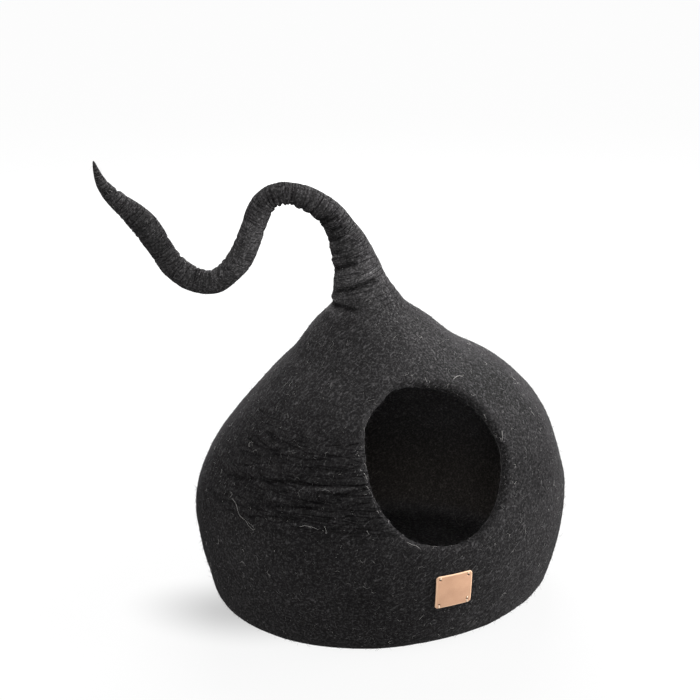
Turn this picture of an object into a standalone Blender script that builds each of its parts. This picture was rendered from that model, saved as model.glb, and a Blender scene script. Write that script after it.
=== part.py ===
"""Felt cat cave: one seamless piece of wet-felted wool with a long curled tail, and a small leather tag.

The cave is a hollow onion-shaped shell with a round doorway. It is felted in one piece, so floor, wall,
shoulder, neck and tail are one solid. All lengths here are in millimetres, made metres by one function.

Frame: the origin is the middle of the flat base, +Z is up, and the doorway faces -Y.
A place on the wall is given by its turn, the angle round the upright axis from -Y towards +X,
and by its run, the distance along the outline from the edge of the base up to the tip of the tail.
"""
import math
from collections import namedtuple

import bmesh
import bpy
import numpy as np
from mathutils import Vector

# ---------------------------------------------------------------- driving sizes, mm
FELT = 8.0                  # thickness of the felt
LIP = 12.5                  # thickness of the rolled edge round the doorway
FLATTENING = 0.10           # how much shallower the body is, front to back, than it is wide
ROUND_BELOW = 60.0          # radius under which the neck and tail are round
FLAT_ABOVE = 160.0          # radius over which the body has its whole flattening
TAIL_HEADING = 156.0        # degrees from +X: the way the tail reaches
FLOOR_LIFT = 6.5            # how far the edge of the base lifts at its highest
LIFT_TURN = 35.0            # degrees: where it lifts most
LIFT_RADII = (155, 195)     # the base starts to lift here, and is lifted fully here
LIFT_HEIGHTS = (95, 15)     # the wall stops following the lift here, and follows it fully under this
NECK_CAP = 14.0             # height of the rounded roof where the hollow ends in the neck

DOOR_WIDTH = 175.0          # doorway, measured over the start of its rolled edge
DOOR_HEIGHT = 222.0         # the same, measured along the slope of the wall
DOOR_MIDDLE = 227.0         # height of its middle
DOOR_ASIDE = -11.5          # how far its middle is from the centre line
DOOR_TILT = 5.0             # degrees, anticlockwise

TAG_WIDTH = 44.5
TAG_HEIGHT = 42.5
TAG_THICKNESS = 1.8
TAG_CORNER = 3.8            # radius of the rounded corners
TAG_HOLE = 2.3              # diameter of a sewing hole
TAG_HOLE_INSET = 4.8        # from the edges to a hole's middle
TAG_MIDDLE = 82.5           # height of the tag's middle
TAG_ASIDE = -2.0
TAG_TILT = 1.5              # degrees, anticlockwise
GAP = 0.3                   # between the tag and the felt

COLUMNS = 64                # faces round the body; half of them round the neck, a quarter round the tail
MM = 0.001

# ---------------------------------------------------------------- the outline, from base to tip
# A ring of felt every few centimetres: how far its middle has moved along the tail's heading (reach) and
# to the side of it (sway), its height and radius, how far it has turned from level towards square to
# the spine (0 to 1), and how many mesh rings lead from it to the next.
Section = namedtuple("Section", "reach sway height radius turned rings")
SECTIONS = [
    # base and rounded edge
    Section(0, 0, 0, 155, 0, 1),
    Section(0, 0, 0, 192, 0, 2),
    Section(0, 0, 6, 207, 0, 2),
    Section(-1, 0, 24, 215, 0, 3),
    # wall
    Section(-1, 0, 64, 225, 0, 3),
    Section(-1, 0, 103, 230, 0, 4),
    Section(-1, 0, 138, 229, 0, 7),
    Section(-3, 0, 173, 219, 0, 7),
    Section(-7, 0, 203, 205, 0, 6),
    # shoulder
    Section(-11, 0, 233, 185, 0, 3),
    Section(-11, 0, 263, 159, 0, 3),
    Section(-7, 0, 288, 132, 0, 3),
    Section(1, 0, 308, 103, 0, 2),
    Section(7, 0, 326, 84, 0, 2),
    Section(10, 0, 343, 67, 0, 2),
    Section(13, 0, 354, 53, 0, 2),
    # neck
    Section(17, 0, 365, 42, 0.1, 2),
    Section(23, 0, 378, 36, 0.3, 3),
    Section(29, 0, 403, 28, 0.6, 3),
    Section(37, 0, 427, 23.3, 0.9, 3),
    Section(48, 1, 451, 18, 1, 5),
    # over the first bend
    Section(62, 3, 472, 15.8, 1, 5),
    Section(84, 5, 488, 14.7, 1, 5),
    Section(110, 7, 497, 12.8, 1, 5),
    Section(134, 6, 490, 13.1, 1, 3),
    # down, and round the second bend
    Section(150, 4, 463, 13.3, 1, 3),
    Section(163, 1, 429, 13.7, 1, 3),
    Section(179, -4, 402, 14.1, 1, 3),
    Section(201, -8, 385, 13.9, 1, 3),
    Section(226, -11, 388, 14.7, 1, 3),
    # up to the tip
    Section(250, -13, 405, 14.1, 1, 3),
    Section(265, -12, 429, 14.0, 1, 3),
    Section(280, -9, 453, 15.0, 1, 3),
    Section(298, -4, 474, 12.3, 1, 3),
    Section(315, 1, 491, 9.0, 1, 3),
    Section(328, 5, 511, 5.8, 1, 2),
    Section(333, 9, 532, 1.8, 1, 0),
]
TIP_LENGTH = 3.0            # the last point past the last ring
NECK_START = 14             # section where the columns first halve
TAIL_START = 20             # section where they halve again
HOLLOW_END = 16             # section where the hollow stops

# ---------------------------------------------------------------- the doorway's unevenness
# Where the doorway's edge stands out (or in) from a true oval: the angle round the doorway,
# anticlockwise from its right-hand side, how far out, and over what angle.
Bulge = namedtuple("Bulge", "angle out spread")
BULGES = [
    Bulge(335, 7.0, 28),
    Bulge(30, -3.5, 22),
    Bulge(80, 2.0, 30),
    Bulge(130, -6.2, 18),
    Bulge(195, 3.0, 30),
    Bulge(265, -4.5, 20),
]

# ---------------------------------------------------------------- folds that show from a step away
# Soft troughs pressed into the felt: each goes from one turn and run to another.
Fold = namedtuple("Fold", "turn_a run_a turn_b run_b depth width")
FOLDS = [
    # drag lines beside the doorway
    Fold(-90, 239, -30, 265, 2.4, 4.5),
    Fold(-76, 218, -29, 241, 1.8, 4.0),
    Fold(-80, 199, -28, 229, 1.4, 4.5),
    Fold(-68, 270, -36, 286, 1.2, 4.0),
    # where the neck folds over
    Fold(-125, 492, -20, 504, 2.6, 4.0),
    Fold(-115, 513, 25, 529, 3.0, 5.0),
    Fold(-120, 539, -15, 556, 2.6, 4.5),
]
FOLD_FADE = 0.3             # share of a fold's length over which each end fades out
CREASE_TURN = -95.0         # degrees: the side of the tail that is creased, inside its first bend
CREASE_RUNS = (575, 712)    # where the creases start and end
CREASE_PITCH = 14.0
CREASE_DEPTH = 1.5


def spline_slopes(at, values):
    """Slopes of the smooth curve through a table's rows, free at both ends."""
    step = np.diff(at)
    rise = np.diff(values, axis=0) / step[:, None]
    count = len(at)
    left = np.zeros((count, count))
    right = np.zeros(values.shape)
    left[0, :2] = 2, 1
    right[0] = 3 * rise[0]
    left[-1, -2:] = 1, 2
    right[-1] = 3 * rise[-1]
    for i in range(1, count - 1):
        left[i, i - 1:i + 2] = step[i], 2 * (step[i - 1] + step[i]), step[i - 1]
        right[i] = 3 * (step[i] * rise[i - 1] + step[i - 1] * rise[i])
    return np.linalg.solve(left, right)


OUTLINE = np.array([section[:5] for section in SECTIONS], float)
RUN = np.concatenate([[0], np.cumsum(np.linalg.norm(np.diff(OUTLINE[:, :4], axis=0), axis=1))])
SLOPES = spline_slopes(RUN, OUTLINE)


def outline(run):
    """Reach, sway, height, radius and turned at a distance along the outline, and their rates."""
    run = np.asarray(run, float)
    i = np.clip(np.searchsorted(RUN, run, side="right") - 1, 0, len(RUN) - 2)
    step = RUN[i + 1] - RUN[i]
    t = ((run - RUN[i]) / step)[..., None]
    step = step[..., None]
    a, b = OUTLINE[i], OUTLINE[i + 1]
    p, q = SLOPES[i] * step, SLOPES[i + 1] * step
    value = a + t * p + t * t * (3 * (b - a) - 2 * p - q) + t ** 3 * (2 * (a - b) + p + q)
    rate = (p + 2 * t * (3 * (b - a) - 2 * p - q) + 3 * t * t * (2 * (a - b) + p + q)) / step
    value[..., 2] = np.maximum(value[..., 2], 0)        # the floor holds the base flat
    value[..., 4] = np.clip(value[..., 4], 0, 1)
    return value, rate


def run_at(height):
    """Distance along the outline where the wall passes a height."""
    runs = np.linspace(RUN[2], RUN[NECK_START], 600)
    return float(np.interp(height, outline(runs)[0][:, 2], runs))


def ease(x):
    x = np.clip(x, 0, 1)
    return x * x * (3 - 2 * x)


HEADING = np.array([math.cos(math.radians(TAIL_HEADING)), math.sin(math.radians(TAIL_HEADING)), 0])
ACROSS = np.array([-HEADING[1], HEADING[0], 0])
UP = np.array([0, 0, 1.0])


def unit(v):
    return v / np.linalg.norm(v, axis=-1, keepdims=True)


def smooth_skin(turn, run):
    """The felt's outer face without its folds. turn in radians."""
    turn, run = np.broadcast_arrays(np.asarray(turn, float), np.asarray(run, float))
    value, rate = outline(run)
    reach, sway, height, radius, turned = np.moveaxis(value, -1, 0)
    middle = reach[..., None] * HEADING + sway[..., None] * ACROSS + height[..., None] * UP
    spine = unit(rate[..., :1] * HEADING + rate[..., 1:2] * ACROSS + rate[..., 2:3] * UP + 1e-9 * UP)
    lean = turned[..., None]
    axis = unit((1 - lean) * UP + lean * spine)
    side = unit(ACROSS - (axis @ ACROSS)[..., None] * axis)
    front = np.cross(side, axis)
    out = np.stack([np.sin(turn), -np.cos(turn), 0 * turn], -1)
    out[..., 1] *= 1 - FLATTENING * ease((radius - ROUND_BELOW) / (FLAT_ABOVE - ROUND_BELOW))
    spoke = (out @ HEADING)[..., None] * front + (out @ ACROSS)[..., None] * side
    lift = FLOOR_LIFT * np.maximum(np.cos(turn - math.radians(LIFT_TURN)), 0) ** 2
    lift = lift * ease((radius - LIFT_RADII[0]) / (LIFT_RADII[1] - LIFT_RADII[0]))
    lift = lift * ease((height - LIFT_HEIGHTS[0]) / (LIFT_HEIGHTS[1] - LIFT_HEIGHTS[0]))
    return middle + radius[..., None] * spoke + lift[..., None] * UP


def press(turn, run):
    """How far the folds press the outer face in at a place."""
    turn = (turn + math.pi) % (2 * math.pi) - math.pi
    total = np.zeros(turn.shape)
    for fold in FOLDS:
        a, b = math.radians(fold.turn_a), math.radians(fold.turn_b)
        share = (turn - a) / (b - a)
        middle = fold.run_a + share * (fold.run_b - fold.run_a)
        ends = ease(share / FOLD_FADE) * ease((1 - share) / FOLD_FADE)
        total += fold.depth * ends * np.exp(-((run - middle) / fold.width) ** 2)
    first, last = CREASE_RUNS
    inside = np.maximum(np.cos(turn - math.radians(CREASE_TURN)), 0)
    ends = ease((run - first) / CREASE_PITCH) * ease((last - run) / CREASE_PITCH)
    wave = 0.5 + 0.5 * np.cos(2 * math.pi * (run - first) / CREASE_PITCH)
    return total + CREASE_DEPTH * inside * ends * wave


def skin(turn, run, depth=0.0):
    """A point of the felt, this deep under its outer face."""
    small_run, small_turn = 0.02, 0.002
    turn, run = np.broadcast_arrays(np.asarray(turn, float), np.asarray(run, float))
    along = smooth_skin(turn, run + small_run) - smooth_skin(turn, run - small_run)
    around = smooth_skin(turn + small_turn, run) - smooth_skin(turn - small_turn, run)
    normal = unit(np.cross(around, along))
    shift = np.asarray(depth) + np.where(np.asarray(depth) > 0, 0, press(turn, run))
    return smooth_skin(turn, run) - shift[..., None] * normal, normal


# ---------------------------------------------------------------- mesh helpers
def add_ring(mesh, points):
    return [mesh.verts.new(point * MM) for point in points]


def join_rings(mesh, low, high, closed=True):
    """Faces between two rings with as many points, or with half as many in the second."""
    count = len(high)
    last = count if closed else count - 1
    half = len(low) == 2 * count
    for i in range(last):
        j = (i + 1) % count
        if half:
            a, b, c = low[2 * i], low[2 * i + 1], low[(2 * i + 2) % len(low)]
            mesh.faces.new((a, b, high[i]))
            mesh.faces.new((b, high[j], high[i]))
            mesh.faces.new((b, c, high[j]))
        else:
            mesh.faces.new((low[i], low[j], high[j], high[i]))


def close_ring(mesh, ring, point):
    peak = mesh.verts.new(point * MM)
    for i in range(len(ring)):
        mesh.faces.new((ring[i], ring[(i + 1) % len(ring)], peak))


def plain_material(name, colour, roughness):
    material = bpy.data.materials.new(name)
    material.use_nodes = True
    shader = material.node_tree.nodes["Principled BSDF"]
    shader.inputs["Base Color"].default_value = (*colour, 1)
    shader.inputs["Roughness"].default_value = roughness
    shader.inputs["Metallic"].default_value = 0.0
    return material


def make_object(name, mesh, material):
    bmesh.ops.recalc_face_normals(mesh, faces=mesh.faces)
    if mesh.calc_volume(signed=True) < 0:
        bmesh.ops.reverse_faces(mesh, faces=mesh.faces)
    bmesh.ops.triangulate(mesh, faces=mesh.faces)
    data = bpy.data.meshes.new(name)
    mesh.to_mesh(data)
    mesh.free()
    data.materials.append(material)
    data.shade_smooth()
    piece = bpy.data.objects.new(name, data)
    bpy.context.scene.collection.objects.link(piece)
    return piece


# ---------------------------------------------------------------- the felt
def ring_runs(first, last):
    """Where the mesh rings lie between two sections, the last one left out."""
    runs = []
    for i in range(first, last):
        share = np.arange(SECTIONS[i].rings) / SECTIONS[i].rings
        runs.extend(RUN[i] + share * (RUN[i + 1] - RUN[i]))
    return runs


DOOR_RUN = run_at(DOOR_MIDDLE)


def door_place(aside, up):
    """Turn and run of a place given in millimetres from the doorway's middle."""
    run = DOOR_RUN + up
    radius = outline(run)[0][..., 3]
    return np.arcsin((DOOR_ASIDE + aside) / radius), run


def door_edge(angle):
    """Millimetres aside and up from the doorway's middle to its edge."""
    tilt = math.radians(DOOR_TILT)
    oval = np.stack([np.cos(angle - tilt) * DOOR_WIDTH / 2, np.sin(angle - tilt) * DOOR_HEIGHT / 2], -1)
    size = np.linalg.norm(oval, axis=-1)
    out = np.zeros(size.shape)
    for bulge in BULGES:
        away = (np.degrees(angle) - bulge.angle + 180) % 360 - 180
        out += bulge.out * np.exp(-(away / bulge.spread) ** 2)
    turned = np.stack([oval[..., 0] * math.cos(tilt) - oval[..., 1] * math.sin(tilt),
                       oval[..., 0] * math.sin(tilt) + oval[..., 1] * math.cos(tilt)], -1)
    return turned * (1 + out / size)[..., None]


BLOCK_HALF = 8              # columns taken out to each side for the doorway's own mesh
BLOCK_MARGIN = 14.0         # least felt between the doorway and that block's edge, along the outline
DOOR_SHARES = (0.35, 0.65, 0.87, 1.0)   # where its rings lie, from the block's edge to the doorway's
LIP_STEPS = 5               # steps round the rolled edge, from its outer to its inner face


def wall_with_door(mesh, runs, block, columns, depth, rim_depth):
    """One face of the wall, outer or inner, with the mesh led round to the doorway's edge.

    Block is the rings between which the doorway's own mesh takes the grid's place.
    Returns the rings of points, the doorway's own loop, and the loop's angles round the doorway.
    """
    step = 2 * math.pi / columns
    turns = np.arange(columns) * step
    half = BLOCK_HALF * columns // COLUMNS
    low, high = block
    rings = [add_ring(mesh, skin(turns, run, depth)[0]) for run in runs]
    inside = set(range(-half, half))
    for k in range(len(runs) - 1):
        for j in range(columns):
            near = j if j < columns // 2 else j - columns
            if low <= k < high and near in inside:
                continue
            after = (j + 1) % columns
            mesh.faces.new((rings[k][j], rings[k][after], rings[k + 1][after], rings[k + 1][j]))
    border = [(j, low) for j in range(-half, half)] + [(half, k) for k in range(low, high)]
    border += [(j, high) for j in range(half, -half, -1)] + [(-half, k) for k in range(high, low, -1)]
    kept = {rings[k][j % columns] for j, k in border}
    for k in range(low, high + 1):
        for j in range(-half, half + 1):
            if rings[k][j % columns] not in kept:
                mesh.verts.remove(rings[k][j % columns])
    start = np.array([(outline(runs[k])[0][3] * math.sin(j * step) - DOOR_ASIDE, runs[k] - DOOR_RUN)
                      for j, k in border])
    angle = np.arctan2(start[:, 1] / DOOR_HEIGHT, start[:, 0] / DOOR_WIDTH)
    end = door_edge(angle)
    loop = [rings[k][j % columns] for j, k in border]
    for share in DOOR_SHARES:
        place = start + share * (end - start)
        turn, run = door_place(place[:, 0], place[:, 1])
        here = depth + share ** 2 * (rim_depth - depth)
        following = add_ring(mesh, skin(turn, run, here)[0])
        join_rings(mesh, loop, following)
        loop = following
    return rings, loop, angle


def lip_ring(angle, across):
    """A ring of the rolled edge: across is 0 at its outer face and 180 degrees at its inner face."""
    point, normal = skin(*door_place(*door_edge(angle).T))
    along = unit(skin(*door_place(*door_edge(angle + 0.01).T))[0] - point)
    inward = unit(np.cross(normal, along))
    middle = point - LIP / 2 * normal
    return middle + LIP / 2 * (math.cos(across) * normal + math.sin(across) * inward)


def make_felt():
    mesh = bmesh.new()
    # outer face, from the base up to the neck
    body_runs = ring_runs(0, NECK_START)
    half = DOOR_HEIGHT / 2 + BLOCK_MARGIN
    low = sum(run <= DOOR_RUN - half for run in body_runs) - 1
    high = sum(run < DOOR_RUN + half for run in body_runs)
    block = (low // 2 * 2, (high + 1) // 2 * 2)
    rings, outer_loop, angle = wall_with_door(mesh, body_runs, block, COLUMNS, 0.0, 0.0)
    close_ring(mesh, rings[0], np.zeros(3))
    # neck and tail
    ring = rings[-1]
    for first, last, columns in ((NECK_START, TAIL_START, COLUMNS // 2),
                                 (TAIL_START, len(SECTIONS) - 1, COLUMNS // 4)):
        turns = np.arange(columns) * 2 * math.pi / columns
        for run in ring_runs(first, last):
            following = add_ring(mesh, skin(turns, run)[0])
            join_rings(mesh, ring, following)
            ring = following
    following = add_ring(mesh, skin(turns, RUN[-1])[0])
    join_rings(mesh, ring, following)
    value, rate = outline(RUN[-1])
    tip = value[0] * HEADING + value[1] * ACROSS + value[2] * UP
    tip += TIP_LENGTH * unit(rate[0] * HEADING + rate[1] * ACROSS + rate[2] * UP)
    close_ring(mesh, following, tip)
    # inner face, with half as many rings and columns
    inner_runs = body_runs[::2] + ring_runs(NECK_START, HOLLOW_END)[::2]
    inner_block = (block[0] // 2, block[1] // 2)
    inner_rings, inner_loop, _ = wall_with_door(mesh, inner_runs, inner_block, COLUMNS // 2, FELT, LIP)
    close_ring(mesh, inner_rings[0], FELT * UP)
    roof = np.mean([vert.co for vert in inner_rings[-1]], axis=0) / MM
    close_ring(mesh, inner_rings[-1], roof + NECK_CAP * UP)
    # the rolled edge
    loop = outer_loop
    for k in range(1, LIP_STEPS):
        following = add_ring(mesh, lip_ring(angle, math.pi * k / LIP_STEPS))
        join_rings(mesh, loop, following)
        loop = following
    join_rings(mesh, loop, inner_loop)
    return make_object("felt_shell", mesh, plain_material("black wool felt", (0.012, 0.011, 0.012), 0.95))


# ---------------------------------------------------------------- the leather tag
TAG_RUN = run_at(TAG_MIDDLE)
CORNER_STEPS = 3            # edges round each of its corners
HOLE_SIDES = 10
BEND_STEP = 6.0             # the tag is scored this often so that it bends round the wall


def rounded_outline():
    """The tag's outline, anticlockwise from its lower right corner."""
    points = []
    for corner, (x, y) in enumerate(((1, -1), (1, 1), (-1, 1), (-1, -1))):
        middle = np.array([x * (TAG_WIDTH / 2 - TAG_CORNER), y * (TAG_HEIGHT / 2 - TAG_CORNER)])
        for k in range(CORNER_STEPS + 1):
            angle = math.radians(90) * (corner - 1 + k / CORNER_STEPS)
            points.append(middle + TAG_CORNER * np.array([math.cos(angle), math.sin(angle)]))
    return points


def place_on_wall(aside, up, off):
    """A place on the tag, turned by its tilt and laid on the wall, off the felt by a distance."""
    tilt = math.radians(TAG_TILT)
    x = TAG_ASIDE + aside * math.cos(tilt) - up * math.sin(tilt)
    run = TAG_RUN + aside * math.sin(tilt) + up * math.cos(tilt)
    turn = np.arcsin(x / outline(TAG_RUN)[0][3])
    point, normal = skin(turn, run)
    return point + off * normal


def make_tag():
    """A flat plate with four holes, scored across both ways and then bent round the wall."""
    mesh = bmesh.new()
    points = rounded_outline()
    bottom = mesh.faces.new([mesh.verts.new((*point, 0)) for point in points])
    raised = bmesh.ops.extrude_face_region(mesh, geom=[bottom])["geom"]
    bmesh.ops.translate(mesh, vec=(0, 0, TAG_THICKNESS),
                        verts=[item for item in raised if isinstance(item, bmesh.types.BMVert)])
    bmesh.ops.recalc_face_normals(mesh, faces=mesh.faces)
    data = bpy.data.meshes.new("leather_tag")
    mesh.to_mesh(data)
    mesh.free()
    plate = bpy.data.objects.new("tag plate", data)
    bpy.context.scene.collection.objects.link(plate)
    for x in (-1, 1):
        for y in (-1, 1):
            bore = bmesh.new()
            bmesh.ops.create_cone(bore, cap_ends=True, segments=HOLE_SIDES, radius1=TAG_HOLE / 2,
                                  radius2=TAG_HOLE / 2, depth=4 * TAG_THICKNESS)
            cutter_data = bpy.data.meshes.new("hole")
            bore.to_mesh(cutter_data)
            bore.free()
            cutter = bpy.data.objects.new("hole", cutter_data)
            cutter.location.x = x * (TAG_WIDTH / 2 - TAG_HOLE_INSET)
            cutter.location.y = y * (TAG_HEIGHT / 2 - TAG_HOLE_INSET)
            cutter.hide_render = True
            cutter.display_type = "WIRE"
            bpy.context.scene.collection.objects.link(cutter)
            cut = plate.modifiers.new("hole", "BOOLEAN")
            cut.object = cutter
            cut.solver = "EXACT"
    bpy.context.view_layer.update()
    mesh = bmesh.new()
    mesh.from_object(plate, bpy.context.evaluated_depsgraph_get())
    for old in [plate, *(cut.object for cut in plate.modifiers)]:
        bpy.data.objects.remove(old)
    for axis, size in ((0, TAG_WIDTH), (1, TAG_HEIGHT)):
        across = Vector((0, 0, 0))
        across[axis] = 1
        count = round(size / BEND_STEP)
        for k in range(1, count):
            bmesh.ops.bisect_plane(mesh, geom=mesh.verts[:] + mesh.edges[:] + mesh.faces[:],
                                   plane_co=across * (k / count - 0.5) * size, plane_no=across)
    for vert in mesh.verts:
        vert.co = place_on_wall(vert.co.x, vert.co.y, GAP + vert.co.z) * MM
    return make_object("leather_tag", mesh, plain_material("tan leather", (0.62, 0.38, 0.24), 0.6))


for old in list(bpy.data.objects):
    bpy.data.objects.remove(old)
make_felt()
make_tag()
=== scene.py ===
"""The looks of a felt cat cave: black wet-felted wool, a long curled tail and a small leather tag.

Lengths are in millimetres in every section, and MM makes them metres where they leave it.
"""

import math
from collections import namedtuple

import bmesh
import bpy
import numpy as np
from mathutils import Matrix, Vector, noise
from mathutils.bvhtree import BVHTree


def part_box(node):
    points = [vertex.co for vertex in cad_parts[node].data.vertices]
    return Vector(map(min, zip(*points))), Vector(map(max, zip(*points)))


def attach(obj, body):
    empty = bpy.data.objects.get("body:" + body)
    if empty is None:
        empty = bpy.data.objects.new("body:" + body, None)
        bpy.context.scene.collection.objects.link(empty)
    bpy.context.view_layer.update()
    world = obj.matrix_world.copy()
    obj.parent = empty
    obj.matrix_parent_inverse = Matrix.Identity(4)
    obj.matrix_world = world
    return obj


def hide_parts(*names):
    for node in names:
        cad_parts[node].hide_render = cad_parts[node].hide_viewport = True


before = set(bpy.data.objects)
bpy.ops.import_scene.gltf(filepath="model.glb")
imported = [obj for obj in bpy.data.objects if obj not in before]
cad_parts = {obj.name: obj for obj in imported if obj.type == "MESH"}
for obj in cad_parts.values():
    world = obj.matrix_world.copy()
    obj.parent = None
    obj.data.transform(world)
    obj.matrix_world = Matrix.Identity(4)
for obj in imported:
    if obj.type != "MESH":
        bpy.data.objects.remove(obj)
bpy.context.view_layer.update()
MM = 0.001

# ================================================================ the cave
# One seamless shell of black wool, wetted and rubbed by hand over a form until it shrank to about
# 8 mm of felt: floor, wall, neck and solid tail in one, with the doorway's cut edge rubbed round.
# It is a finer copy of the solid, with its folds, creases and unevenness pressed in.
FINER = 2                   # times that each face is divided in four
WELD = 0.01                 # loose corners nearer than this are one
QUAD_BEND = 40              # two triangles that meet flatter than this, in degrees, become one,
QUAD_SKEW = 120             # if its shape is no further than this from a square
CAVE_MIDDLE = (0, 0, 150)   # a point inside the room
NECK_HEIGHT = 350           # the room is below this height, the neck and tail above it

# Folds and drag lines, where the wet wool was pulled or bent: from one turn (degrees round the
# upright middle line, from the front towards the right) and height to another. A depth under 0 is
# a raised roll.
Ripple = namedtuple("Ripple", "turn_a height_a turn_b height_b depth width")
WALL_RIPPLES = [
    # beside the doorway
    Ripple(-86, 184, -50, 206, 1.1, 2.2),
    Ripple(-66, 200, -27, 212, 1.5, 2.2),
    Ripple(-64, 194, -30, 206, -1.2, 2.4),
    Ripple(-62, 176, -44, 181, 1.4, 1.7),
    Ripple(-52, 179, -30, 185, 0.9, 1.7),
    Ripple(-56, 188, -40, 188, 1.4, 1.8),
    Ripple(-60, 165, -35, 173, 1.1, 1.8),
    Ripple(-57, 218, -31, 221, 1.3, 1.9),
    Ripple(-48, 229, -29, 239, 1.1, 1.8),
    Ripple(-43, 246, -29, 257, 0.8, 1.8),
    Ripple(-41, 197, -26, 207, 1.4, 1.6),
    Ripple(-37, 187, -25, 195, 1.4, 1.6),
    Ripple(-38, 176, -24, 184, 1.2, 1.6),
    Ripple(-40, 154, -24, 166, 0.8, 1.9),
    Ripple(-65, 258, -46, 270, 0.6, 1.9),
    Ripple(-74, 233, -46, 240, 0.6, 2.0),
]
NECK_RIPPLES = [
    # the crease at the neck's foot, with a roll under it
    Ripple(-115, 364, -30, 367, 3.4, 2.2),
    Ripple(-125, 354, -60, 357, -2.6, 4.0),
    # the deep crease above, and the thick roll that is folded down over it
    Ripple(-110, 377, 34, 402, 3.0, 2.3),
    Ripple(-118, 390, 28, 411, -2.8, 5.5),
    Ripple(-112, 403, -6, 421, 3.2, 2.2),
    Ripple(-125, 371, -70, 372, -2.0, 3.0),
    # short creases inside the bend
    Ripple(-112, 414, -60, 421, -1.8, 3.5),
    Ripple(-108, 422, -34, 433, 2.2, 2.0),
    Ripple(-104, 430, -52, 440, -1.8, 4.0),
    Ripple(-100, 437, -16, 448, 2.8, 2.0),
    Ripple(-62, 449, 6, 461, 2.8, 2.0),
    Ripple(-56, 462, 12, 472, 2.0, 2.0),
]
RIPPLE_FADE = 0.25          # share of a ripple's length over which each end fades out
RIPPLE_WANDER = 2.4         # how far a ripple strays from its straight line
RIPPLE_WAVE = 26.0          # the length over which it strays
RIPPLE_ALIKE = (1, 1, 0.35)     # ripples above each other stray nearly alike

# Fine wrinkles between the drag lines: many short ones, side by side.
WRINKLE_TURNS = (-104, 4)   # where they start and end, in degrees
WRINKLE_TURN_FADE = 28
WRINKLE_HEIGHTS = (134, 270)
WRINKLE_HEIGHT_FADE = 34
WRINKLE_SIZE = (40, 7.5)    # along and across them
WRINKLE_RISE = 0.3          # how much they rise for each degree
WRINKLE_DEPTH = 1.3
WRINKLE_SHARP = 0.14        # how narrow they are
WRINKLE_STRETCH = 8         # the finest ones are this many times as long as wide
TAIL_WRINKLED = 1.1         # those lie across the tail too, this strong where it is straight,
TAIL_IN_BENDS = 0.6         # this much stronger on the inside of its bends,
TAIL_FINER = 1.3            # and this much closer together
TAIL_WRINKLE_FADE = 50      # they begin over this height at the neck's foot

# The middle line of the neck and tail: how far it reaches along the tail's heading, how far it
# sways to the side of it, and its height.
Bend = namedtuple("Bend", "reach sway height")
SPINE = [
    Bend(10, 0, 343), Bend(17, 0, 365), Bend(29, 0, 403), Bend(37, 0, 427), Bend(48, 1, 451),
    Bend(62, 3, 472), Bend(84, 5, 488), Bend(110, 7, 497), Bend(134, 6, 490), Bend(150, 4, 463),
    Bend(163, 1, 429), Bend(179, -4, 402), Bend(201, -8, 385), Bend(226, -11, 388),
    Bend(250, -13, 405), Bend(265, -12, 429), Bend(280, -9, 453), Bend(298, -4, 474),
    Bend(315, 1, 491), Bend(328, 5, 511), Bend(333, 9, 532),
]
TAIL_HEADING = 156.0        # degrees from +X
SPINE_STEP = 1.0
SPINE_SMOOTHING = 12        # its corners are rounded over this many steps
NECK_LENGTH = 185           # the neck's folds are on this much of it
SHARP_BEND = 0.04           # 1/mm
NO_BEND = 1e-9              # added to a bend, so that a straight stretch has an inside too
AT_ONCE = 4000              # points looked up at a time

# Cross creases all along the tail.
CREASE_PITCH = 8.5          # about this far apart,
CREASE_STRAY = 3.0          # this far from an even pitch,
TIP_PLAIN = 30              # and none this near the tip
CREASE_WIDTHS = (1.4, 2.6)
CREASE_DEPTH = 0.9          # on a straight stretch, times a share between these two
CREASE_DEPTHS = (0.5, 1.3)
CREASE_IN_BEND = 60.0       # more depth for each 1/mm of bend, on the bend's inside
CREASE_DEEPEST = 2.8
CREASE_ROUND = 0.45         # how far round from its own side a crease reaches,
CREASE_ROUND_FADE = 1.1     # and how softly it ends
CREASE_SHOULDER = 0.3       # how far the felt swells beside it, for each 1 of its depth,
CREASE_SHOULDER_WIDE = 2    # and how wide, for each 1 of its width
CREASE_SPIN = 1.9           # radians that its side strays from the bend's inside,
CREASE_SPIN_LESS = 0.75     # and the share that a sharp bend takes away from it
CREASE_SLANT = 4.0
CREASE_SEED = 11

# Creases across the tail under the top of its first bend: how far along it, how deep and how wide.
Crease = namedtuple("Crease", "along depth width")
CREASES = [Crease(184, 1.4, 1.6), Crease(190, 1.8, 1.7), Crease(205, 2.2, 1.6),
           Crease(211, 2.0, 1.5), Crease(217, 2.2, 1.6), Crease(232, 1.4, 1.8)]
CREASES_REACH = 0.8         # how far they go round from the bend's inside towards its outside
ARCH = (150, 330)           # from here to there along the tail the felt is bunched up on one side
ARCH_SIDE = (0.65, -0.3, -0.7)
ARCH_REACH = 0.2
ARCH_FADE = 30
ARCH_SWELL = 2.6

# The doorway's rolled edge, which is rougher and hairier than the rest.
LIP_TURN = 0.8              # its skin faces sideways: 1 would be straight in or out
LIP_FRONT = -90             # it is in front of here,
LIP_HEIGHT = 200            # and this far above and below this height
LIP_REACH = 125
LIP_ROUGH = 1.0
LIP_WAVE = 6

# Unevenness from rubbing by hand: the size of the lumps and how far they rise.
Lump = namedtuple("Lump", "size rise")
LUMPS = [Lump(70, 1.6), Lump(24, 0.7), Lump(9, 0.32), Lump(4.5, 0.16)]
FLAT_UNDER = 12.0           # lumps fade out below this height, so that the base stays flat
FLUFF = 0.7                 # the loose surface of the felt stands this far out

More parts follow.
